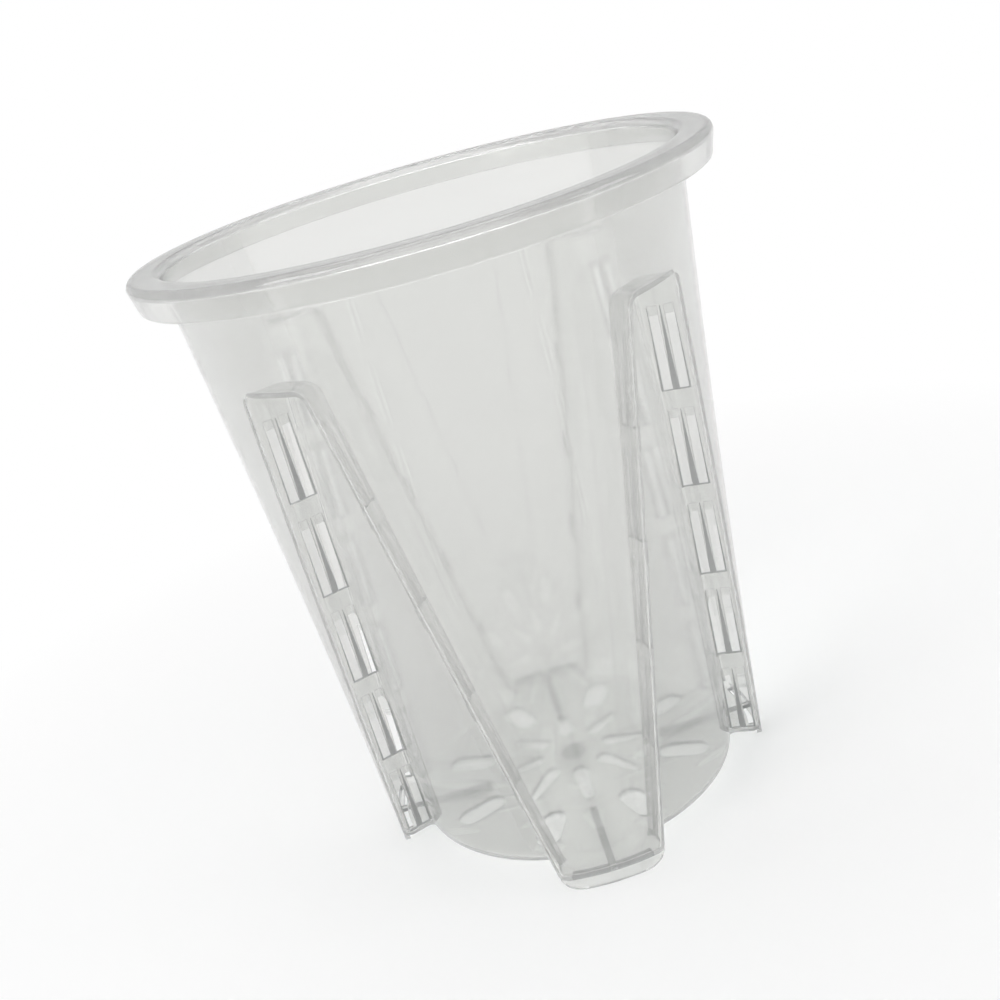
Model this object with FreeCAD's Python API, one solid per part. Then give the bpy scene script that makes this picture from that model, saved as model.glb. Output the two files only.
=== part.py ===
import FreeCAD, Part
import math
import os

from FreeCAD import Vector

# Clear slotted orchid pot, in millimetres.
# Origin on the ground under the middle of the pot, +Z up.
# One foot panel faces each of -Y (front), +X (right), +Y (back) and -X (left),
# and one hollow channel lies between each pair of panels, at 45 degrees to them.

# Overall sizes
pot_height = 170.0
rim_diameter = 145.0
rim_radius = rim_diameter / 2

# Rim: a flat ring with a rounded outer edge and a skirt that hangs from it
rim_width = 6.5
opening_radius = rim_radius - rim_width
rim_thickness = 1.8
skirt_height = 7.5
skirt_wall = 1.2
skirt_draft = 1.1
edge_round_share = 1 - math.sqrt(0.5)

# Outer wall: its outside radius at the rim, half way up and on the ground
wall = 1.1
rim_overhang = 7.5
upper_draft = 6.5
lower_draft = 4.6
wall_top_radius = rim_radius - rim_overhang
wall_waist_radius = wall_top_radius - upper_draft
wall_foot_radius = wall_waist_radius - lower_draft

# Channels: four hollows pressed into the outer wall, wider towards the base.
# Half widths are at the outer wall's outside. The side walls are planes that
# draw together towards the pot's axis, each at the side angle to the middle.
channel_count = 4
ledge_drop = 27.8
ledge_height = pot_height - ledge_drop
ledge_thickness = 1.1
channel_top_half_width = 8.8
channel_base_half_width = 26.3
channel_side_angle = 22.5
channel_top_inset = 11.8
channel_top_radius = wall_top_radius - channel_top_inset
channel_wall = 1.1

# Floor: a flat ring with a raised middle, held clear of the ground by the feet
base_inset = 8.7
base_radius = wall_foot_radius - base_inset
floor_clearance = 3.0
floor_thickness = 1.1
dome_foot_share = 0.575
dome_piece_share = 0.53
dome_flat_share = 0.177
dome_foot_radius = base_radius * dome_foot_share
dome_piece_radius = base_radius * dome_piece_share
dome_flat_radius = base_radius * dome_flat_share
dome_rise = 2.2
gate_pad_radius = 3.7
gate_pad_depth = 0.8

# Air slots: rows of two slots in each side wall of a channel
slot_rows = 5
slot_columns = 2
slot_top_drop = 7.2
slot_row_gap = 5.2
slot_top_height = ledge_height - slot_top_drop
slot_row_pitch = slot_top_height / slot_rows
slot_length = slot_row_pitch - slot_row_gap
slot_width = 2.3
slot_bar = 1.6
slot_edge_margin = 2.0
slot_top_depth = 0.75

# Drain holes: two rings of drops round the middle of the floor, sized as shares
# of the floor's radius: where each drop starts and ends, and the radius of each end
drain_count = 8
outer_drain_shares = (0.62, 0.788, 0.073, 0.0775)
inner_drain_shares = (0.243, 0.465, 0.053, 0.031)

# Feet: a curved lip under each panel, two drain slots beside it and a rib
lip_side_gap = 0.4
lip_sweep = 6.8
lip_corner_share = 0.35
foot_slot_width = 2.2
foot_slot_start_angle = 0.9
foot_slot_margin_angle = 4.2
rib_width = 2.0
rib_start_share = 0.586
rib_start_radius = base_radius * rib_start_share

# Cuts run this far past the faces that they go through
overrun = 2.0

full_turn = 360.0
sides = ("front", "right", "back", "left")
side_angles = {"front": -90.0, "right": 0.0, "back": 90.0, "left": 180.0}
channels = (("front", "right"), ("right", "back"), ("back", "left"), ("left", "front"))

side_angle = math.radians(channel_side_angle)
channel_half_angle = math.degrees(math.asin(channel_base_half_width / wall_foot_radius))
panel_half_angle = full_turn / channel_count / 2 - channel_half_angle
foot_slot_end_angle = panel_half_angle - foot_slot_margin_angle
lip_top_half_width = wall_foot_radius * math.sin(math.radians(panel_half_angle)) - lip_side_gap
lip_flat_half_width = lip_top_half_width - lip_sweep
floor_top = floor_clearance + floor_thickness
rim_underside = pot_height - rim_thickness
axis = Vector(0, 0, 1)
middle = Vector(0, 0, 0)
wall_curve = Part.Arc(
    Vector(wall_foot_radius, 0, 0),
    Vector(wall_waist_radius, 0, pot_height / 2),
    Vector(wall_top_radius, 0, pot_height),
).toShape().Curve


def between(z, low, low_value, high, high_value):
    """The value at height z on the straight line through two heights."""
    return low_value + (high_value - low_value) * (z - low) / (high - low)


def wall_radius(z):
    """Outside radius of the outer wall at height z, on its gentle curve."""
    side = math.copysign(1, wall_waist_radius - wall_curve.Center.x)
    rise = z - wall_curve.Center.z
    return wall_curve.Center.x + side * math.sqrt(wall_curve.Radius ** 2 - rise ** 2)


def channel_radius(z):
    """Radius of the channels' back walls at height z, on the channel side."""
    return between(z, floor_clearance, base_radius, ledge_height, channel_top_radius)


def plane_offset(half_width, z):
    """Distance from the axis to a side wall's plane that has this half width at height z."""
    along = math.sqrt(wall_radius(z) ** 2 - half_width ** 2)
    return half_width * math.cos(side_angle) - along * math.sin(side_angle)


def side_offset(z):
    """Distance from the axis to a channel's side wall plane at height z, square to the wall."""
    low = plane_offset(channel_base_half_width, floor_clearance)
    high = plane_offset(channel_top_half_width, ledge_height)
    return between(z, floor_clearance, low, ledge_height, high)


def outline(points):
    """A flat face through corner points."""
    return Part.Face(Part.makePolygon(points + points[:1]))


def turned(points):
    """A solid turned about the pot's axis from an outline of (radius, height) points."""
    return outline([Vector(radius, 0, height) for radius, height in points]).revolve(
        middle, axis, full_turn
    )


def disc(radius, low, high):
    """A solid disc about the axis."""
    return Part.makeCylinder(radius, high - low, Vector(0, 0, low))


def wall_body(low, high, inset):
    """The space inside the outer wall, from low to high, less an inset from its outside."""
    foot = Vector(wall_radius(0) - inset, 0, 0)
    waist = Vector(wall_radius(pot_height / 2) - inset, 0, pot_height / 2)
    top = Vector(wall_radius(pot_height) - inset, 0, pot_height)
    edges = [
        Part.makeLine(middle, foot),
        Part.Arc(foot, waist, top).toShape(),
        Part.makeLine(top, Vector(0, 0, pot_height)),
        Part.makeLine(Vector(0, 0, pot_height), middle),
    ]
    body = Part.Face(Part.Wire(edges)).revolve(middle, axis, full_turn)
    return body.common(disc(rim_radius, low, high))


def wall_ring(low, high):
    """The outer wall's own ring of material, from low to high."""
    return wall_body(low, high, 0).cut(wall_body(low, high, wall))


def channel_body(low, high, inset):
    """The space inside the channels' back walls, from low to high, less an inset."""
    low_radius = channel_radius(low) - inset
    high_radius = channel_radius(high) - inset
    return turned([(0, low), (low_radius, low), (high_radius, high), (0, high)])


def turned_to(shape, angle):
    """A copy of a shape turned about the pot's axis."""
    copy = shape.copy()
    copy.rotate(middle, axis, angle)
    return copy


def mirrored(shape):
    """A shape's twin on the other side of the channel's middle plane."""
    return shape.mirror(middle, Vector(0, 1, 0))


def wedge(grow, low, high):
    """The channel's space between its side walls, about +X, widened by grow on each side."""
    half_space = outline([
        Vector(-rim_radius, -rim_diameter, low),
        Vector(-rim_radius, side_offset(low) + grow, low),
        Vector(-rim_radius, side_offset(high) + grow, high),
        Vector(-rim_radius, -rim_diameter, high),
    ]).extrude(Vector(rim_diameter * 2, 0, 0))
    half_space = turned_to(half_space, channel_side_angle)
    return half_space.common(mirrored(half_space))


def channel_angle(index):
    """Direction of a channel's middle plane."""
    return side_angles[sides[0]] + full_turn / channel_count * (index + 1 / 2)


def without_channels(shape, low, high):
    """A shape with the four channels' space taken out of it."""
    for index in range(channel_count):
        shape = shape.cut(turned_to(wedge(0, low, high), channel_angle(index)))
    return shape


def by_side(shape):
    """The solids of a shape, named by the side of the pot that each lies on."""
    named = {}
    for side in sides:
        angle = math.radians(side_angles[side])
        direction = Vector(math.cos(angle), math.sin(angle), 0)
        named[side] = max(shape.Solids, key=lambda solid: solid.CenterOfMass.dot(direction))
    return named


def rim_flange():
    """The flat ring, flared up out of the wall and rounded over its outer edge."""
    wall_inside = wall_radius(rim_underside) - wall
    lip = opening_radius - wall_inside
    flare = (lip ** 2 + rim_thickness ** 2) / (2 * rim_thickness)
    half_turn = math.atan2(lip, flare - rim_thickness) / 2
    round_drop = rim_thickness * edge_round_share
    inner_low = Vector(wall_inside, 0, rim_underside)
    inner_middle = Vector(
        opening_radius - flare * math.sin(half_turn), 0, pot_height - flare * (1 - math.cos(half_turn))
    )
    inner_high = Vector(opening_radius, 0, pot_height)
    outer_high = Vector(rim_radius - rim_thickness, 0, pot_height)
    outer_middle = Vector(rim_radius - round_drop, 0, pot_height - round_drop)
    outer_low = Vector(rim_radius, 0, rim_underside)
    edges = [
        Part.Arc(inner_low, inner_middle, inner_high).toShape(),
        Part.makeLine(inner_high, outer_high),
        Part.Arc(outer_high, outer_middle, outer_low).toShape(),
        Part.makeLine(outer_low, inner_low),
    ]
    return Part.Face(Part.Wire(edges)).revolve(middle, axis, full_turn)


def rim_skirt():
    """The band that hangs from the rim's outer edge, clear of the wall."""
    low = pot_height - skirt_height
    low_radius = rim_radius - skirt_draft
    return turned([
        (rim_radius - skirt_wall, rim_underside),
        (rim_radius, rim_underside),
        (low_radius, low),
        (low_radius - skirt_wall, low),
    ])


def panels():
    """The four stretches of outer wall between the channels, from floor to ledge."""
    return by_side(without_channels(wall_ring(floor_top, ledge_height), floor_top, ledge_height))


def channel_back():
    """A channel's back wall, about +X."""
    shell = channel_body(floor_top, ledge_height, 0).cut(
        channel_body(floor_top, ledge_height, channel_wall)
    )
    return shell.common(wedge(0, floor_top, ledge_height)).Solids[0]


def channel_ledge():
    """The shelf that closes a channel at its top, about +X."""
    high = ledge_height + ledge_thickness
    hole = disc(channel_radius(ledge_height) - channel_wall, ledge_height, high)
    plate = wall_body(ledge_height, high, wall).cut(hole)
    return plate.common(wedge(channel_wall, ledge_height, high)).Solids[0]


def slot_edge(z, inset):
    """A point's distance along the side wall, an inset from the pot's outside at height z."""
    return math.sqrt(wall_radius(z) ** 2 - side_offset(z) ** 2) - inset


def slot_cutter(row, column):
    """One slot: an upright prism that meets the leaning side wall deeper towards its foot."""
    high = slot_top_height - slot_row_pitch * row
    low = high - slot_length
    near = side_offset(high) + channel_wall - slot_top_depth
    far = side_offset(low) + channel_wall + overrun
    outer_inset = slot_edge_margin + (slot_width + slot_bar) * column
    inner_inset = outer_inset + slot_width
    prism = outline([
        Vector(slot_edge(low, inner_inset), near, low),
        Vector(slot_edge(low, outer_inset), near, low),
        Vector(slot_edge(high, outer_inset), near, high),
        Vector(slot_edge(high, inner_inset), near, high),
    ]).extrude(Vector(0, far - near, 0))
    return turned_to(prism, channel_side_angle)


def slot_wall():
    """A channel's side wall on its +Y side, with its rows of slots, about +X."""
    slab = wedge(channel_wall, floor_top, ledge_height).cut(wedge(0, floor_top, ledge_height))
    room = wall_body(floor_top, ledge_height, wall).cut(
        channel_body(floor_top, ledge_height, channel_wall)
    )
    side = max(slab.common(room).Solids, key=lambda solid: solid.CenterOfMass.y)
    for row in range(slot_rows):
        for column in range(slot_columns):
            side = side.cut(slot_cutter(row, column))
    return side.Solids[0]


def drain(shares):
    """A drop-shaped drain hole along +X, rounded at both ends."""
    start, end, start_radius, end_radius = [base_radius * share for share in shares]
    slope = (start_radius - end_radius) / (end - start)
    rise = math.sqrt(1 - slope ** 2)

    def touch(centre, radius, side):
        return Vector(centre + radius * slope, side * radius * rise, 0)

    edges = [
        Part.makeLine(touch(start, start_radius, 1), touch(end, end_radius, 1)),
        Part.Arc(
            touch(end, end_radius, 1), Vector(end + end_radius, 0, 0), touch(end, end_radius, -1)
        ).toShape(),
        Part.makeLine(touch(end, end_radius, -1), touch(start, start_radius, -1)),
        Part.Arc(
            touch(start, start_radius, -1), Vector(start - start_radius, 0, 0), touch(start, start_radius, 1)
        ).toShape(),
    ]
    return Part.Face(Part.Wire(edges)).extrude(Vector(0, 0, pot_height))


def drained(shape, hole, first_angle):
    """A floor piece with a ring of drain holes cut through it."""
    for index in range(drain_count):
        shape = shape.cut(turned_to(hole, first_angle + full_turn / drain_count * index))
    return shape.Solids[0]


def dome_space():
    """The space under the raised middle of the floor, above its flat underside."""
    return turned([
        (0, floor_clearance),
        (dome_foot_radius, floor_clearance),
        (dome_flat_radius, floor_clearance + dome_rise),
        (0, floor_clearance + dome_rise),
    ])


def floor_plate():
    """The floor inside the foot of the back walls: flat outside, raised in the middle."""
    raised = dome_space()
    raised.translate(Vector(0, 0, floor_thickness))
    plate = channel_body(floor_clearance, floor_top, 0).fuse(raised)
    return plate.cut(dome_space()).removeSplitter()


def base_ring():
    """The outer part of the floor, with the outer ring of drain holes."""
    ring = floor_plate().cut(disc(dome_piece_radius, 0, pot_height))
    return drained(ring, drain(outer_drain_shares), full_turn / drain_count / 2)


def base_dome():
    """The raised middle of the floor, with the inner ring of drain holes."""
    plate = floor_plate().common(disc(dome_piece_radius, 0, pot_height))
    return drained(plate, drain(inner_drain_shares), 0)


def gate_pad():
    """The round pad under the middle of the floor, where the plastic entered the mould."""
    underside = floor_clearance + dome_rise
    return disc(gate_pad_radius, underside - gate_pad_depth, underside)


def foot_slot(side):
    """A curved drain slot along the wall's inside, about +X, on one side of the rib."""
    outer_radius = wall_radius(floor_clearance) - wall
    angle = foot_slot_end_angle - foot_slot_start_angle
    sector = Part.makeCylinder(outer_radius, pot_height, middle, axis, angle)
    ring = sector.cut(disc(outer_radius - foot_slot_width, 0, pot_height))
    start = foot_slot_start_angle if side > 0 else -foot_slot_end_angle
    return turned_to(ring, start)


def foot_floors():
    """The floors of the four feet, outside the base ring, each with two drain slots."""
    ring = wall_body(floor_clearance, floor_top, 0).cut(channel_body(floor_clearance, floor_top, 0))
    named = by_side(without_channels(ring, floor_clearance, floor_top))
    for side in sides:
        for hand in (-1, 1):
            cutter = turned_to(foot_slot(hand), side_angles[side])
            named[side] = named[side].cut(cutter).Solids[0]
    return named


def lip_outline():
    """A foot lip seen from outside, about +X, drawn as a plate that reaches past the wall."""
    bend_width = between(lip_corner_share, 0, lip_top_half_width, 1, lip_flat_half_width)
    bend_height = floor_clearance * lip_corner_share
    edges = [
        Part.makeLine(Vector(0, -lip_flat_half_width, 0), Vector(0, lip_flat_half_width, 0)),
        Part.Arc(
            Vector(0, lip_flat_half_width, 0),
            Vector(0, bend_width, bend_height),
            Vector(0, lip_top_half_width, floor_clearance),
        ).toShape(),
        Part.makeLine(
            Vector(0, lip_top_half_width, floor_clearance), Vector(0, -lip_top_half_width, floor_clearance)
        ),
        Part.Arc(
            Vector(0, -lip_top_half_width, floor_clearance),
            Vector(0, -bend_width, bend_height),
            Vector(0, -lip_flat_half_width, 0),
        ).toShape(),
    ]
    return Part.Face(Part.Wire(edges)).extrude(Vector(rim_radius, 0, 0))


def foot_lip():
    """The curved lip that carries the outer wall down to the ground, about +X."""
    return wall_ring(0, floor_clearance).common(lip_outline()).Solids[0]


def foot_rib():
    """The upright rib under the floor, from the drain holes out to the lip, about +X."""
    half = rib_width / 2
    height = floor_clearance + dome_rise
    length = rim_radius - rib_start_radius
    bar = Part.makeBox(length, rib_width, height, Vector(rib_start_radius, -half, 0))
    nose = Part.makeCylinder(half, height, Vector(rib_start_radius, 0, 0))
    under_floor = wall_body(0, floor_clearance, wall).fuse(dome_space()).removeSplitter()
    return bar.fuse(nose).removeSplitter().common(under_floor).removeSplitter().Solids[0]


def save(name, shape):
    """Write one piece of the pot."""
    shape.exportStep("parts/" + name + ".step")


def build():
    """Make every piece and write it."""
    os.makedirs("parts", exist_ok=True)
    save("rim_flange", rim_flange())
    save("rim_skirt", rim_skirt())
    save("collar_wall", wall_ring(ledge_height, rim_underside))
    save("base_ring", base_ring())
    save("base_dome", base_dome())
    save("gate_pad", gate_pad())

    wall_panels = panels()
    floors = foot_floors()
    for side in sides:
        save("panel_" + side, wall_panels[side])
        save("foot_floor_" + side, floors[side])
        save("foot_lip_" + side, turned_to(foot_lip(), side_angles[side]))
        save("foot_rib_" + side, turned_to(foot_rib(), side_angles[side]))

    back = channel_back()
    ledge = channel_ledge()
    side_wall = slot_wall()
    for index, (first, second) in enumerate(channels):
        angle = channel_angle(index)
        save("channel_back_" + first + "_" + second, turned_to(back, angle))
        save("channel_ledge_" + first + "_" + second, turned_to(ledge, angle))
        save("slot_wall_" + second + "_by_" + first, turned_to(side_wall, angle))
        save("slot_wall_" + first + "_by_" + second, turned_to(mirrored(side_wall), angle))


build()
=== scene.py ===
import math

import bmesh
import bpy
from mathutils import Euler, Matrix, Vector


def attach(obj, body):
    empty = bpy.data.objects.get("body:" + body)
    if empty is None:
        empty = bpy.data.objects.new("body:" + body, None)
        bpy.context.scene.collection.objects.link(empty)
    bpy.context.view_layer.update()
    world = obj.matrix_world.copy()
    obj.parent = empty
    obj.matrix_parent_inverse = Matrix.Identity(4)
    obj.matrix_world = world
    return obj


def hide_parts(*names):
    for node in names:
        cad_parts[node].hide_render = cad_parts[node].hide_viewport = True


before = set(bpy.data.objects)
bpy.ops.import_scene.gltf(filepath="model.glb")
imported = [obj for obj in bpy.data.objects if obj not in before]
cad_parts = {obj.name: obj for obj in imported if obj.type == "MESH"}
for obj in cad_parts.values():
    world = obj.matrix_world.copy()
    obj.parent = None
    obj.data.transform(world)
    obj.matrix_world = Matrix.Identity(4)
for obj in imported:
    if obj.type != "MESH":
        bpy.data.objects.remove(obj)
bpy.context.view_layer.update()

# Camera: the pot stands level, and the camera leans as the photograph's does. It
# looks a little down on the pot and is rolled, so that the pot seems to tip left.
camera_place = (-0.01032, -0.31201, 0.20782)
camera_turn = (68.0811, 14.8069, -7.6551)
camera_lens = 45.126

camera_data = bpy.data.cameras.new("photo_camera")
camera_data.lens = camera_lens
camera_data.sensor_width = 36.0
camera_data.clip_start = 0.01
camera = bpy.data.objects.new("photo_camera", camera_data)
camera.location = camera_place
camera.rotation_euler = Euler([math.radians(angle) for angle in camera_turn])
bpy.context.scene.collection.objects.link(camera)
bpy.context.scene.camera = camera

# Outer wall, channel walls and ledges: one moulded skin of clear plastic.
# Four panels stand between four hollows, whose side walls lean and draw together.
# The pot's sizes are in millimetres, and a point becomes metres when it is placed.
metre = 0.001
wall = 1.1
pot_height = 170.0
wall_foot_radius = 53.9
wall_waist_radius = 58.5
wall_top_radius = 65.0
floor_clearance = 3.0
floor_thickness = 1.1
ledge_height = 142.2
ledge_thickness = 1.1
base_radius = 45.2
channel_top_radius = 53.2
channel_side_angle = math.radians(22.5)
channel_top_half_width = 8.8
channel_base_half_width = 26.3
panel_corner = 2.4
hollow_corner = 1.5
hollow_crown = 2.2
foot_edge = 1.5
floor_corner = 0.8
back_steps = 12
inner_corner_steps = 6
side_steps = 8
outer_corner_steps = 8
front_steps = 16
height_steps = 36
edge_steps = 6
ledge_steps = 4
hollow_count = 4
quarter = math.pi / 2
eighth = math.pi / 4
along_side = Vector((math.cos(channel_side_angle), math.sin(channel_side_angle)))
across_side = Vector((-math.sin(channel_side_angle), math.cos(channel_side_angle)))


def between(z, low, low_value, high, high_value):
    return low_value + (high_value - low_value) * (z - low) / (high - low)


def wall_radius(z):
    """Outside radius of the outer wall, on a gentle curve through three heights."""
    share = z / pot_height
    return (
        wall_foot_radius * (1 - share) * (1 - 2 * share)
        + wall_waist_radius * 4 * share * (1 - share)
        + wall_top_radius * share * (2 * share - 1)
    )


def back_radius(z):
    """Radius of a hollow's back wall, on the hollow's side."""
    return between(z, floor_clearance, base_radius, ledge_height, channel_top_radius)


def crown(z, inset):
    """How far a hollow's walls draw in where they round over into its roof."""
    radius = hollow_crown + inset
    above = z - (ledge_height + inset - radius)
    return radius - math.sqrt(max(0.0, radius ** 2 - above ** 2)) if above > 0 else 0.0


def side_offset(z):
    """Distance from the axis to a hollow's side wall, square to that wall."""
    offsets = []
    for half_width, height in (
        (channel_base_half_width, floor_clearance), (channel_top_half_width, ledge_height)
    ):
        reach = math.sqrt(wall_radius(height) ** 2 - half_width ** 2)
        offsets.append(
            half_width * math.cos(channel_side_angle) - reach * math.sin(channel_side_angle)
        )
    return between(z, floor_clearance, offsets[0], ledge_height, offsets[1])


def bend(centre, radius, start, end, steps):
    """Points round a corner, without the last one."""
    turn = math.remainder(end - start, 2 * math.pi)
    angles = [start + turn * step / steps for step in range(steps)]
    return [centre + radius * Vector((math.cos(angle), math.sin(angle))) for angle in angles]


def side_point(radius, offset):
    """The point at a radius that lies an offset out, square to a hollow's side wall."""
    return along_side * math.sqrt(radius ** 2 - offset ** 2) + across_side * offset


def half_outline(z, inset):
    """The wall's level outline from a hollow's middle, along +X, to a panel's middle."""
    roof = crown(z, inset)
    outside, back, offset = wall_radius(z), back_radius(z) + roof, side_offset(z) - roof
    inner_centre = side_point(back + hollow_corner, offset - hollow_corner)
    outer_centre = side_point(outside - panel_corner, offset + panel_corner)
    inner_angle = math.atan2(inner_centre.y, inner_centre.x)
    outer_angle = math.atan2(outer_centre.y, outer_centre.x)
    side_turn = channel_side_angle + quarter
    points = bend(Vector((0, 0)), back - inset, 0, inner_angle, back_steps)
    points += bend(
        inner_centre, hollow_corner + inset, inner_angle + math.pi, side_turn, inner_corner_steps
    )
    side_start = inner_centre + across_side * (hollow_corner + inset)
    side_end = outer_centre - across_side * (panel_corner - inset)
    points += [side_start.lerp(side_end, step / side_steps) for step in range(side_steps)]
    points += bend(
        outer_centre, panel_corner - inset, side_turn - math.pi, outer_angle, outer_corner_steps
    )
    points += bend(Vector((0, 0)), outside - inset, outer_angle, eighth, front_steps)
    points.append(Vector((math.cos(eighth), math.sin(eighth))) * (outside - inset))
    return points


def whole_outline(half):
    """A half outline mirrored and repeated round the pot, as points of the level plane."""
    points = []
    for hollow in range(hollow_count):
        turn = -eighth + quarter * hollow
        cos, sin = math.cos(turn), math.sin(turn)
        for x, y in [(p.x, -p.y) for p in reversed(half[1:])] + [(p.x, p.y) for p in half[:-1]]:
            points.append((x * cos - y * sin, x * sin + y * cos))
    return points


def wall_row(z, inset):
    return [(x, y, z) for x, y in whole_outline(half_outline(z, inset))]


collar_angles = [math.atan2(y, x) for x, y in whole_outline(half_outline(ledge_height, 0))]


def round_row(radius, z):
    return [(radius * math.cos(angle), radius * math.sin(angle), z) for angle in collar_angles]


def ledge_rows(z, inset):
    """Level rows from the hollows' walls out to the round collar."""
    near, far = wall_row(z, inset), round_row(wall_radius(z) - inset, z)
    return [
        [
            tuple(a + (b - a) * step / ledge_steps for a, b in zip(start, end))
            for start, end in zip(near, far)
        ]
        for step in range(ledge_steps + 1)
    ]


outer_rows = []
for step in range(edge_steps):
    turn = quarter * step / edge_steps
    outer_rows.append(wall_row(
        floor_clearance + foot_edge * (1 - math.cos(turn)), foot_edge * (1 - math.sin(turn))
    ))
for step in range(height_steps + 1):
    outer_rows.append(wall_row(
        between(step, 0, floor_clearance + foot_edge, height_steps, ledge_height - hollow_crown), 0
    ))
for step in range(1, edge_steps):
    outer_rows.append(wall_row(
        ledge_height - hollow_crown * (1 - math.sin(quarter * step / edge_steps)), 0
    ))
outer_rows += ledge_rows(ledge_height, 0)

# Rim: a flat ring flared out of the wall, with a rolled outer edge and a short
# skirt hanging from it. It is moulded in one with the wall.
rim_radius = 72.5
rim_thickness = 1.8
rim_underside = pot_height - rim_thickness
opening_radius = 66.0
skirt_height = 7.5
skirt_wall = 1.2
skirt_draft = 1.1
rim_corner = 0.6
collar_steps = 8
small_arc_steps = 4
large_arc_steps = 8


def arc(centre_radius, centre_height, radius, start, end, steps):
    """Profile points (radius, height) round an arc, ends included."""
    return [
        (
            centre_radius + radius * math.cos(start + (end - start) * step / steps),
            centre_height + radius * math.sin(start + (end - start) * step / steps),
        )
        for step in range(steps + 1)
    ]


collar_top = rim_underside - rim_corner
rim_profile = []
for step in range(1, collar_steps):
    z = between(step, 0, ledge_height, collar_steps, collar_top)
    rim_profile.append((wall_radius(z), z))
rim_profile += arc(
    wall_radius(collar_top) + rim_corner, collar_top, rim_corner, math.pi, quarter, small_arc_steps
)
skirt_low = pot_height - skirt_height
skirt_low_radius = rim_radius - skirt_draft
skirt_edge = skirt_wall / 2
rim_profile += arc(
    rim_radius - skirt_wall - rim_corner, collar_top, rim_corner, quarter, 0, small_arc_steps
)
rim_profile += arc(
    skirt_low_radius - skirt_edge, skirt_low + skirt_edge, skirt_edge, math.pi, 2 * math.pi,
    large_arc_steps,
)
rim_profile += arc(
    rim_radius - rim_thickness, rim_underside, rim_thickness, 0, quarter, large_arc_steps
)
wall_inside = wall_radius(rim_underside) - wall
flare_reach = opening_radius - wall_inside
flare = (flare_reach ** 2 + rim_thickness ** 2) / (2 * rim_thickness)
flare_turn = math.atan2(flare_reach, flare - rim_thickness)
rim_profile += arc(
    opening_radius, pot_height - flare, flare, quarter, quarter + flare_turn, large_arc_steps
)
ledge_top = ledge_height + ledge_thickness
for step in range(1, collar_steps):
    z = between(step, 0, rim_underside, collar_steps, ledge_top)
    rim_profile.append((wall_radius(z) - wall, z))
rim_rows = [round_row(radius, z) for radius, z in rim_profile]

# The inside of the same walls, down to the floor, and the floor itself: a flat
# plate with a raised middle, which the feet hold clear of the ground.
floor_top = floor_clearance + floor_thickness
inner_rows = list(reversed(ledge_rows(ledge_top, wall)))
inner_crown = hollow_crown + wall
floor_corner_steps = 4
for step in range(1, edge_steps):
    inner_rows.append(wall_row(
        ledge_top - inner_crown * (1 - math.cos(quarter * step / edge_steps)), wall
    ))
for step in range(height_steps + 1):
    inner_rows.append(wall_row(
        between(step, 0, ledge_top - inner_crown, height_steps, floor_top + floor_corner), wall
    ))
for step in range(1, floor_corner_steps + 1):
    turn = quarter * step / floor_corner_steps
    inner_rows.append(wall_row(
        floor_top + floor_corner * (1 - math.sin(turn)), wall + floor_corner * (1 - math.cos(turn))
    ))
merge_distance = 0.002


def new_object(name, points, faces):
    """An object from millimetre points, with doubles merged and faces turned outwards."""
    mesh = bpy.data.meshes.new(name)
    mesh.from_pydata([Vector(point) * metre for point in points], [], faces)
    shape = bmesh.new()
    shape.from_mesh(mesh)
    bmesh.ops.remove_doubles(shape, verts=shape.verts, dist=merge_distance * metre)
    bmesh.ops.recalc_face_normals(shape, faces=shape.faces)
    shape.to_mesh(mesh)
    shape.free()
    made = bpy.data.objects.new(name, mesh)
    bpy.context.scene.collection.objects.link(made)
    return made


def skin(rows):
    """Points and faces of a closed body that runs through level rows, with a face at each end."""
    count = len(rows[0])
    faces = []
    for row in range(len(rows) - 1):
        for column in range(count):
            after = (column + 1) % count
            low, high = row * count, (row + 1) * count
            faces.append((low + column, low + after, high + after, high + column))
    last = (len(rows) - 1) * count
    faces.append(tuple(reversed(range(count))))
    faces.append(tuple(range(last, last + count)))
    return [point for row in rows for point in row], faces


pot = new_object("clear_pot", *skin(outer_rows + rim_rows + inner_rows))

dome_foot_radius = 25.99
dome_flat_radius = 8.0
dome_rise = 2.2
dome_steps = 8
dome_roundness = 0.35
gate_pad_radius = 3.7
gate_pad_depth = 0.8
gate_pad_chamfer = 0.3
turned_steps = 96
overlap = 0.4


def turned(name, profile):
    """A solid turned about the pot's axis from (radius, height) points."""
    angles = [2 * math.pi * step / turned_steps for step in range(turned_steps)]
    rows = [
        [(radius * math.cos(angle), radius * math.sin(angle), z) for angle in angles]
        for radius, z in profile
    ]
    return new_object(name, *skin(rows))


def dome_profile(rise, low):
    """The dome's upper line, from its foot to its flat top, over a base at low."""
    line = [(dome_foot_radius, low)]
    for step in range(dome_steps + 1):
        share = step / dome_steps
        rounded = share * share * (3 - 2 * share)
        eased = rounded * dome_roundness + share * (1 - dome_roundness)
        line.append((
            dome_foot_radius + (dome_flat_radius - dome_foot_radius) * share,
            floor_clearance + rise + dome_rise * eased,
        ))
    return line


raised_middle = turned("raised_middle", dome_profile(floor_thickness, floor_clearance + overlap))
dome_hollow = turned("dome_hollow", dome_profile(0, floor_clearance - overlap))
pad_top = floor_clearance + dome_rise
gate_pad = turned("gate_pad", [
    (gate_pad_radius - gate_pad_chamfer, pad_top - gate_pad_depth),
    (gate_pad_radius, pad_top - gate_pad_depth + gate_pad_chamfer),
    (gate_pad_radius, pad_top + overlap),
])

# Cuts and joins: one shape is repeated round the pot at equal angles, and taken
# out of the clear plastic or added to it. Picked cut faces get a darker grey plastic,
# painted shade for the shade seen in slot, drain and foot walls.


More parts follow.
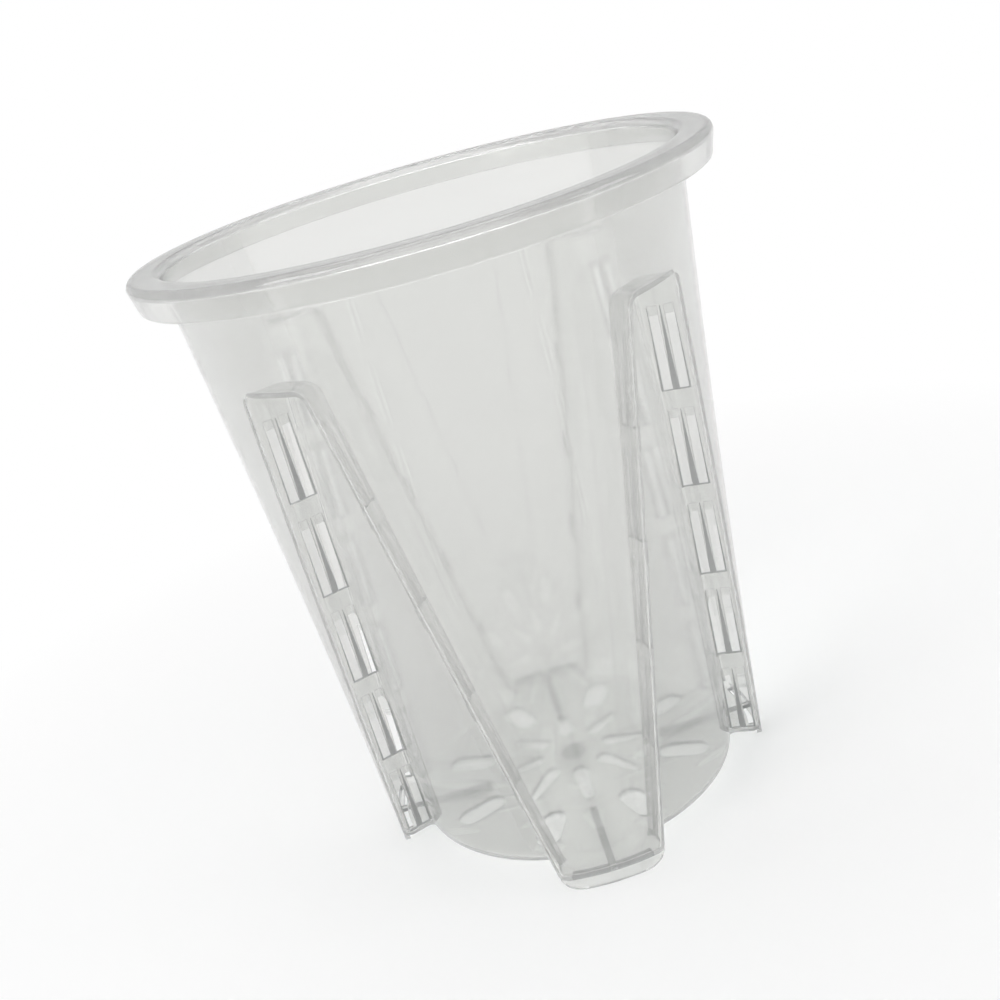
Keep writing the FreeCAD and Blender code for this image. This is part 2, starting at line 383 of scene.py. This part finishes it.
def ring_tree(name, operation):
    """A node group that repeats a shape round the axis, then cuts it out or joins it on."""
    tree = bpy.data.node_groups.new(name, "GeometryNodeTree")
    for socket, kind in (
        ("Pot", "Geometry"), ("Shape", "Object"), ("Count", "Int"), ("First Angle", "Float"),
        ("Plastic", "Material"), ("Painted Shade Plastic", "Material"),
    ):
        tree.interface.new_socket(socket, in_out="INPUT", socket_type="NodeSocket" + kind)
    tree.interface.new_socket("Pot", in_out="OUTPUT", socket_type="NodeSocketGeometry")

    def add(kind, settings, **values):
        made = tree.nodes.new(kind)
        for setting, value in settings.items():
            setattr(made, setting, value)
        for socket, value in values.items():
            target = made.inputs[int(socket[1:])]
            if isinstance(value, bpy.types.NodeSocket):
                tree.links.new(value, target)
            else:
                target.default_value = value
        return made.outputs[0]

    given = tree.nodes.new("NodeGroupInput").outputs
    shape = tree.nodes.new("GeometryNodeObjectInfo")
    tree.links.new(given["Shape"], shape.inputs["Object"])
    places = add("GeometryNodePoints", {}, _0=given["Count"])
    step = add("ShaderNodeMath", {"operation": "DIVIDE"}, _0=2 * math.pi, _1=given["Count"])
    angle = add(
        "ShaderNodeMath", {"operation": "MULTIPLY_ADD"},
        _0=add("GeometryNodeInputIndex", {}), _1=step, _2=given["First Angle"],
    )
    turn = add("FunctionNodeEulerToRotation", {}, _0=add("ShaderNodeCombineXYZ", {}, _2=angle))
    repeated = tree.nodes.new("GeometryNodeInstanceOnPoints")
    tree.links.new(places, repeated.inputs["Points"])
    tree.links.new(shape.outputs["Geometry"], repeated.inputs["Instance"])
    tree.links.new(turn, repeated.inputs["Rotation"])
    ring = add("GeometryNodeRealizeInstances", {}, _0=repeated.outputs[0])
    boolean = tree.nodes.new("GeometryNodeMeshBoolean")
    boolean.operation = operation
    boolean.solver = "MANIFOLD"
    if operation == "DIFFERENCE":
        tree.links.new(given["Pot"], boolean.inputs["Mesh 1"])
        tree.links.new(ring, boolean.inputs["Mesh 2"])
    else:
        tree.links.new(ring, boolean.inputs["Mesh 2"])
        tree.links.new(given["Pot"], boolean.inputs["Mesh 2"])
    joined = add("GeometryNodeRealizeInstances", {}, _0=boolean.outputs[0])
    # Faces marked in the shape get the darker plastic, which paints shade on them.
    painted_shade_pick = tree.nodes.new("GeometryNodeInputNamedAttribute")
    painted_shade_pick.data_type = "BOOLEAN"
    painted_shade_pick.inputs["Name"].default_value = "painted_shade_face"
    for plastic_kind, chosen in (("Plastic", None), ("Painted Shade Plastic", painted_shade_pick.outputs["Attribute"])):
        painted = tree.nodes.new("GeometryNodeSetMaterial")
        tree.links.new(joined, painted.inputs["Geometry"])
        tree.links.new(given[plastic_kind], painted.inputs["Material"])
        if chosen:
            tree.links.new(chosen, painted.inputs["Selection"])
        joined = painted.outputs[0]
    tree.links.new(joined, tree.nodes.new("NodeGroupOutput").inputs[0])
    return tree


cut_ring = ring_tree("cut_round_the_pot", "DIFFERENCE")
join_ring = ring_tree("join_round_the_pot", "UNION")
plastic = bpy.data.materials.new("clear_plastic")
# Darker plastic for the picked cut faces: painted shade.
painted_shade_plastic = bpy.data.materials.new("clear_plastic_painted_shade")
work_shapes = []


def work(tree, shape, count, first_angle, painted_shade_pick=None):
    """Repeat a shape round the pot, and cut or join it. The test picks faces to mark for the darker
    plastic, which paints shade on them.
    """
    marks = shape.data.attributes.new("painted_shade_face", "BOOLEAN", "FACE")
    for face in shape.data.polygons:
        marks.data[face.index].value = bool(painted_shade_pick and painted_shade_pick(face))
    step = pot.modifiers.new(shape.name, "NODES")
    step.node_group = tree
    given = {
        "Shape": shape, "Count": count, "First Angle": first_angle,
        "Plastic": plastic, "Painted Shade Plastic": painted_shade_plastic,
    }
    for item in tree.interface.items_tree:
        if item.in_out == "INPUT" and item.name in given:
            step[item.identifier] = given[item.name]
    work_shapes.append(shape)


def whole(face):
    """True for every face."""
    return True


work(join_ring, raised_middle, 1, 0.0)
work(cut_ring, dome_hollow, 1, 0.0)
work(join_ring, gate_pad, 1, 0.0, whole)

# Air slots: five rows of two in each side wall of a hollow, cut by the mould. It
# closes upright against the leaning wall, so a slot opens a little below its top.
slot_rows = 5
slot_columns = 2
slot_top_height = 135.0
slot_row_pitch = 27.0
slot_length = 21.8
slot_width = 2.3
slot_bar = 1.6
slot_edge_margin = 2.0
slot_top_depth = 0.75
slot_overrun = 2.0
prism_sides = 6
prism_far_face = 1
prism_foot_face = 2


def prism(corners):
    """Points and faces of a body with four corners on one side and four on the other."""
    faces = [(3, 2, 1, 0), (4, 5, 6, 7)]
    faces += [(side, (side + 1) % 4, (side + 1) % 4 + 4, side + 4) for side in range(4)]
    return corners, faces


def gathered(name, bodies):
    """One object from several bodies."""
    points, faces = [], []
    for body_points, body_faces in bodies:
        start = len(points)
        points += body_points
        faces += [tuple(start + corner for corner in face) for face in body_faces]
    return new_object(name, points, faces)


slot_bodies = []
for hand in (1, -1):
    for row in range(slot_rows):
        for column in range(slot_columns):
            top = slot_top_height - slot_row_pitch * row
            foot = top - slot_length
            near = side_offset(top) + wall - slot_top_depth
            far = side_offset(foot) + wall + slot_overrun
            inset = slot_edge_margin + (slot_width + slot_bar) * column
            corners = []
            for depth in (near, far):
                far_edge = inset + slot_width
                for z, edge in ((foot, far_edge), (foot, inset), (top, inset), (top, far_edge)):
                    reach = math.sqrt(wall_radius(z) ** 2 - side_offset(z) ** 2) - edge
                    flat = along_side * reach + across_side * depth
                    corners.append((flat.x, flat.y * hand, z))
            slot_bodies.append(prism(corners))


def slot_foot(face):
    """True for a slot's level foot, which runs through the wall's thickness."""
    return face.index % prism_sides == prism_foot_face


work(cut_ring, gathered("air_slots", slot_bodies), hollow_count, eighth, slot_foot)

# Slot grooves: beside and between the slots the hollow's face has shallow moulded
# grooves, which run to a point at the top and widen downwards.
groove_depth = 0.35
groove_lift = 0.8
groove_reach = 0.5
groove_overlap = 0.05
groove_point = 0.1
slot_span = slot_columns * slot_width + slot_bar
bar_start = slot_edge_margin + slot_width
grooves = (
    (slot_edge_margin - groove_reach, slot_edge_margin + groove_overlap, slot_edge_margin),
    (bar_start - groove_overlap, bar_start + slot_bar + groove_overlap, bar_start + slot_bar / 2),
    (slot_edge_margin + slot_span - groove_overlap, slot_edge_margin + slot_span + groove_reach,
     slot_edge_margin + slot_span),
)
groove_bodies = []
for hand in (1, -1):
    for row in range(slot_rows):
        top = slot_top_height - slot_row_pitch * row
        foot = top - slot_length
        for start, end, point in grooves:
            corners = []
            for depth in (-groove_lift, groove_depth):
                for z, edge in (
                    (foot, end), (foot, start),
                    (top, point - groove_point), (top, point + groove_point),
                ):
                    reach = math.sqrt(wall_radius(z) ** 2 - side_offset(z) ** 2) - edge
                    flat = along_side * reach + across_side * (side_offset(z) + depth)
                    corners.append((flat.x, flat.y * hand, z))
            groove_bodies.append(prism(corners))


def groove_floor(face):
    """True for a groove's sunk face."""
    return face.index % prism_sides == prism_far_face


work(cut_ring, gathered("slot_grooves", groove_bodies), hollow_count, eighth, groove_floor)

# Drain holes: two rings of eight drops through the floor, and a curved slot on
# each side of the rib in every foot.
outer_drain_start, outer_drain_end = 28.02, 35.62
outer_drain_start_radius, outer_drain_end_radius = 3.3, 3.5
inner_drain_start, inner_drain_end = 10.98, 21.02
inner_drain_start_radius, inner_drain_end_radius = 2.4, 1.4
drain_count = 8
drop_start_steps = 12
drop_end_steps = 8
cut_overrun = 2.0
cut_low = floor_clearance - cut_overrun
cut_high = floor_top + dome_rise + cut_overrun


def upright(points):
    """Points and faces of an upright body over a level outline, from under the floor to over it."""
    rows = [[(x, y, z) for x, y in points] for z in (cut_low, cut_high)]
    return skin(rows)


def drop(start, end, start_radius, end_radius):
    """A drop's outline along +X, rounded at both ends."""
    lean = math.acos((start_radius - end_radius) / (end - start))
    points = bend(Vector((start, 0)), start_radius, lean, math.pi, drop_start_steps)
    points += bend(Vector((start, 0)), start_radius, math.pi, 2 * math.pi - lean, drop_start_steps)
    points.append(Vector((start + start_radius * math.cos(lean), -start_radius * math.sin(lean))))
    points += bend(Vector((end, 0)), end_radius, -lean, 0, drop_end_steps)
    points += bend(Vector((end, 0)), end_radius, 0, lean, drop_end_steps)
    points.append(Vector((end + end_radius * math.cos(lean), end_radius * math.sin(lean))))
    return points


outer_drop = drop(
    outer_drain_start, outer_drain_end, outer_drain_start_radius, outer_drain_end_radius
)
inner_drop = drop(
    inner_drain_start, inner_drain_end, inner_drain_start_radius, inner_drain_end_radius
)
outer_drains = new_object("outer_drains", *upright(outer_drop))
inner_drains = new_object("inner_drains", *upright(inner_drop))
work(cut_ring, outer_drains, drain_count, math.pi / drain_count, whole)
work(cut_ring, inner_drains, drain_count, 0.0, whole)

foot_slot_width = 2.2
foot_slot_start = math.radians(0.9)
foot_slot_end = math.radians(11.6)
foot_slot_radius = wall_radius(floor_clearance) - wall
foot_slot_steps = 8
foot_slots = []
for hand in (1, -1):
    outline = []
    for radius, first, last in (
        (foot_slot_radius, foot_slot_start, foot_slot_end),
        (foot_slot_radius - foot_slot_width, foot_slot_end, foot_slot_start),
    ):
        for step in range(foot_slot_steps + 1):
            angle = first + (last - first) * step / foot_slot_steps
            outline.append((radius * math.cos(angle), radius * math.sin(angle) * hand))
    foot_slots.append(upright(outline))
work(cut_ring, gathered("foot_slots", foot_slots), hollow_count, 0.0, whole)

# Feet: each panel's wall runs down to the ground as a narrow curved lip, and an
# upright rib under the floor runs from the raised middle out to the curved slots.
lip_flat_half_width = 7.5
lip_reach = 13.7
lip_side_walls = 1.2
lip_inner_reach = lip_reach - lip_side_walls * wall
lip_sweep_power = 0.41
lip_steps = 14
lip_height_steps = 7
lip_sink = 0.05
rib_half_width = 1.0
rib_start_radius = 26.49
rib_start_steps = 8
rib_head_foot = 0.8
rib_end_foot = 2.8
rib_slot_gap = 0.2
rib_straight_gap = 2.0
rib_straight_radius = dome_foot_radius + rib_straight_gap


def lip_edge(reach, z, inset):
    """Distance out along a panel's middle to the wall's surface, rounded at its corners."""
    outside = wall_radius(z)
    corner = side_point(outside - panel_corner, side_offset(z) + panel_corner)
    turn = math.atan2(corner.y, corner.x) - eighth
    corner_out = corner.length * math.cos(turn)
    corner_side = -corner.length * math.sin(turn)
    if abs(reach) > corner_side * outside / (outside - panel_corner):
        past_corner = abs(reach) - corner_side
        return corner_out + math.sqrt(max(0.0, (panel_corner - inset) ** 2 - past_corner ** 2))
    return math.sqrt((outside - inset) ** 2 - reach ** 2)


lip_section = []
for step in range(lip_height_steps + 2):
    shown = step <= lip_height_steps
    share = (step / lip_height_steps) ** 2 if shown else 1.0
    z = floor_clearance * share if shown else floor_clearance + foot_edge
    half = lip_flat_half_width + (lip_reach - lip_flat_half_width) * share ** lip_sweep_power
    sunk = 0.0 if shown else lip_sink
    row = []
    for direction, inset, widest in ((1, sunk, half), (-1, wall, min(half, lip_inner_reach))):
        for place in range(lip_steps + 1):
            reach = direction * widest * (2 * place / lip_steps - 1)
            row.append((lip_edge(reach, z, inset), reach, z))
    lip_section.append(row)
work(join_ring, new_object("foot_lips", *skin(lip_section)), hollow_count, 0.0)

rib_end = foot_slot_radius - foot_slot_width - rib_slot_gap
rib_plan = [
    Vector((rib_end, rib_half_width)), Vector((rib_straight_radius, rib_half_width)),
]
rib_plan += bend(
    Vector((rib_start_radius, 0)), rib_half_width, quarter, 3 * quarter, rib_start_steps
)
rib_plan += [
    Vector((rib_start_radius, -rib_half_width)), Vector((rib_straight_radius, -rib_half_width)),
    Vector((rib_end, -rib_half_width)),
]


def rib_foot(radius):
    return between(radius, rib_start_radius, rib_head_foot, rib_end, rib_end_foot)


def rib_top(radius):
    rise = max(0.0, dome_foot_radius - radius) / (dome_foot_radius - dome_flat_radius) * dome_rise
    return floor_clearance + rise + floor_thickness / 2


rib_rows = [[(p.x, p.y, height(p.x)) for p in rib_plan] for height in (rib_foot, rib_top)]
work(join_ring, new_object("foot_ribs", *skin(rib_rows)), hollow_count, 0.0, whole)

# The finished moulding: one piece of plastic, with soft shading over its curves
# and crisp edges at its cuts.
crisp_angle = math.radians(28)
even_shading_weight = 50


def baked(made):
    """Turn an object's evaluated shape into its plain mesh."""
    bpy.context.view_layer.update()
    graph = bpy.context.evaluated_depsgraph_get()
    mesh = bpy.data.meshes.new_from_object(made.evaluated_get(graph))
    made.modifiers.clear()
    made.data = mesh


baked(pot)
for shape in work_shapes:
    bpy.data.objects.remove(shape)
pot.data.shade_smooth()
pot.data.set_sharp_from_angle(angle=crisp_angle)
even = pot.modifiers.new("even_shading", "WEIGHTED_NORMAL")
even.keep_sharp = True
even.weight = even_shading_weight
baked(pot)

# Clear plastic: glossy, faintly grey and softly rippled from the mould, and a
# little milky, so that light passes. It darkens towards glancing angles, painted
# shade for its dark edges, and cut faces get a darker grey, painted shade too.


class Amount:
    """A shader value that Python operators work on."""

    def __init__(self, nodes, links, socket):
        self.nodes, self.links, self.socket = nodes, links, socket

    def _math(self, operation, first, second):
        made = self.nodes.new("ShaderNodeMath")
        made.operation = operation
        for target, value in zip(made.inputs, (first, second)):
            if isinstance(value, Amount):
                self.links.new(value.socket, target)
            else:
                target.default_value = value
        return Amount(self.nodes, self.links, made.outputs[0])

    def __add__(self, other): return self._math("ADD", self, other)
    def __radd__(self, other): return self._math("ADD", other, self)
    def __mul__(self, other): return self._math("MULTIPLY", self, other)
    def __rmul__(self, other): return self._math("MULTIPLY", other, self)
    def __pow__(self, other): return self._math("POWER", self, other)


class Maker:
    """Adds nodes to a material or world."""

    def __init__(self, owner):
        owner.use_nodes = True
        self.tree = owner.node_tree
        self.tree.nodes.clear()

    def node(self, kind, settings=None, values=None, output=0):
        made = self.tree.nodes.new(kind)
        for name, value in (settings or {}).items():
            setattr(made, name, value)
        for name, value in (values or {}).items():
            target = made.inputs[name]
            if isinstance(value, Amount):
                self.tree.links.new(value.socket, target)
            else:
                target.default_value = value
        if made.outputs:
            return Amount(self.tree.nodes, self.tree.links, made.outputs[output])


plastic_clear = (0.81, 0.812, 0.798, 1)
# Darker grey towards glancing angles: painted shade for the plastic's dark edges.
plastic_glancing_shade = (0.73, 0.735, 0.735, 1)
# The cut colours are dark grey: painted shade on slot, drain and foot walls.
cut_painted_shade = (0.32, 0.325, 0.325, 1)
cut_glancing_painted_shade = (0.4, 0.405, 0.405, 1)
shadow_tint = (0.86, 0.87, 0.87, 1)
plastic_ior = 1.49
plastic_passes = 0.90
cut_passes = 0.35
plastic_body = 0.85
cut_body = 0.92
plastic_gloss = 0.06
handled_gloss = 0.05
facing_blend = 0.35
facing_power = 2.5
glancing_shade_least, glancing_shade_spread = 0.85, 0.3
flow_scale, flow_detail = 28.0, 3.0
handled_scale, handled_detail = 130.0, 4.0
ripple_strength, ripple_depth = 0.25, 0.0004
handled_ripple = 0.06


def moulded(finish, face_on, glancing_shade_colour, passes, body):
    """Clear moulded plastic, its colour darkened towards glancing angles as painted shade, rippled,
    with handled gloss.
    """
    make = Maker(finish)
    place = make.node("ShaderNodeTexCoord", output="Object")
    facing = make.node("ShaderNodeLayerWeight", values={"Blend": facing_blend}, output="Facing")
    flow = make.node(
        "ShaderNodeTexNoise", values={"Vector": place, "Scale": flow_scale, "Detail": flow_detail}
    )
    handled = make.node(
        "ShaderNodeTexNoise",
        values={"Vector": place, "Scale": handled_scale, "Detail": handled_detail},
    )
    # Colour runs from face_on to the painted shade colour at glancing angles, varied by the flow
    # noise.
    colour_with_painted_shade = make.node(
        "ShaderNodeMix", {"data_type": "RGBA"},
        {0: facing ** facing_power * (glancing_shade_least + glancing_shade_spread * flow), 6: face_on, 7: glancing_shade_colour},
        output=2,
    )
    ripple = make.node("ShaderNodeBump", values={
        "Strength": ripple_strength,
        "Distance": ripple_depth,
        "Height": flow + handled_ripple * handled,
    })
    surface = make.node("ShaderNodeBsdfPrincipled", values={
        "Base Color": colour_with_painted_shade,
        "Roughness": plastic_gloss + handled_gloss * handled,
        "IOR": plastic_ior,
        "Transmission Weight": passes,
        "Alpha": body,
        "Normal": ripple,
    })
    clear_shadow = make.node("ShaderNodeBsdfTransparent", values={"Color": shadow_tint})
    light_path = make.node("ShaderNodeLightPath", output="Is Shadow Ray")
    both = make.node("ShaderNodeMixShader", values={0: light_path, 1: surface, 2: clear_shadow})
    make.node("ShaderNodeOutputMaterial", values={"Surface": both})


moulded(plastic, plastic_clear, plastic_glancing_shade, plastic_passes, plastic_body)
# Cut faces: the same plastic, darker and less clear, as painted shade.
moulded(painted_shade_plastic, cut_painted_shade, cut_glancing_painted_shade, cut_passes, cut_body)


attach(pot, "root")
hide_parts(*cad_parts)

# Studio: a matt pale floor that keeps the shadow near the pot and fades to white,
# under a white room and soft light from three large panels.
floor_half_width = 3.0
floor_shade = (0.95, 0.95, 0.95, 1)
fade_start, fade_end = 0.07, 0.3
floor_mesh = bpy.data.meshes.new("studio_floor")
floor_corners = [
    (x * floor_half_width, y * floor_half_width, 0) for x, y in ((-1, -1), (1, -1), (1, 1), (-1, 1))
]
floor_mesh.from_pydata(floor_corners, [], [(0, 1, 2, 3)])
studio_floor = bpy.data.objects.new("studio_floor", floor_mesh)
bpy.context.scene.collection.objects.link(studio_floor)
pale = bpy.data.materials.new("pale_floor")
make = Maker(pale)
place = make.node("ShaderNodeTexCoord", output="Object")
distance = make.node("ShaderNodeVectorMath", {"operation": "LENGTH"}, {0: place}, output="Value")
fade = make.node(
    "ShaderNodeMapRange", values={"Value": distance, "From Min": fade_start, "From Max": fade_end}
)
matt = make.node("ShaderNodeBsdfDiffuse", values={"Color": floor_shade})
white = make.node("ShaderNodeEmission", values={"Color": (1, 1, 1, 1), "Strength": 1.0})
blend = make.node("ShaderNodeMixShader", values={0: fade, 1: matt, 2: white})
make.node("ShaderNodeOutputMaterial", values={"Surface": blend})
floor_mesh.materials.append(pale)

world = bpy.data.worlds.new("studio")
bpy.context.scene.world = world
make = Maker(world)
seen = make.node("ShaderNodeLightPath", output="Is Camera Ray")
through = make.node("ShaderNodeLightPath", output="Is Transmission Ray")
room_light, room_seen = 0.6, 0.4
brightness = room_light + room_seen * seen + room_seen * through
room = make.node("ShaderNodeBackground", values={"Color": (1, 1, 1, 1), "Strength": brightness})
make.node("ShaderNodeOutputWorld", values={"Surface": room})

panel_aim = Vector((0, 0, 0.08))
panels = {
    "left_panel": ((-0.75, -0.55, 0.75), 0.5, 4.0),
    "right_panel": ((0.8, -0.3, 0.6), 0.4, 1.4),
    "top_panel": ((0.0, 0.25, 0.95), 0.5, 1.6),
}
for name, (place, size, power) in panels.items():
    lamp = bpy.data.lights.new(name, "AREA")
    lamp.size = size
    lamp.energy = power
    lit = bpy.data.objects.new(name, lamp)
    lit.location = place
    lit.rotation_euler = (panel_aim - Vector(place)).to_track_quat("-Z", "Y").to_euler()
    bpy.context.scene.collection.objects.link(lit)

bpy.context.scene.view_settings.view_transform = "Standard"
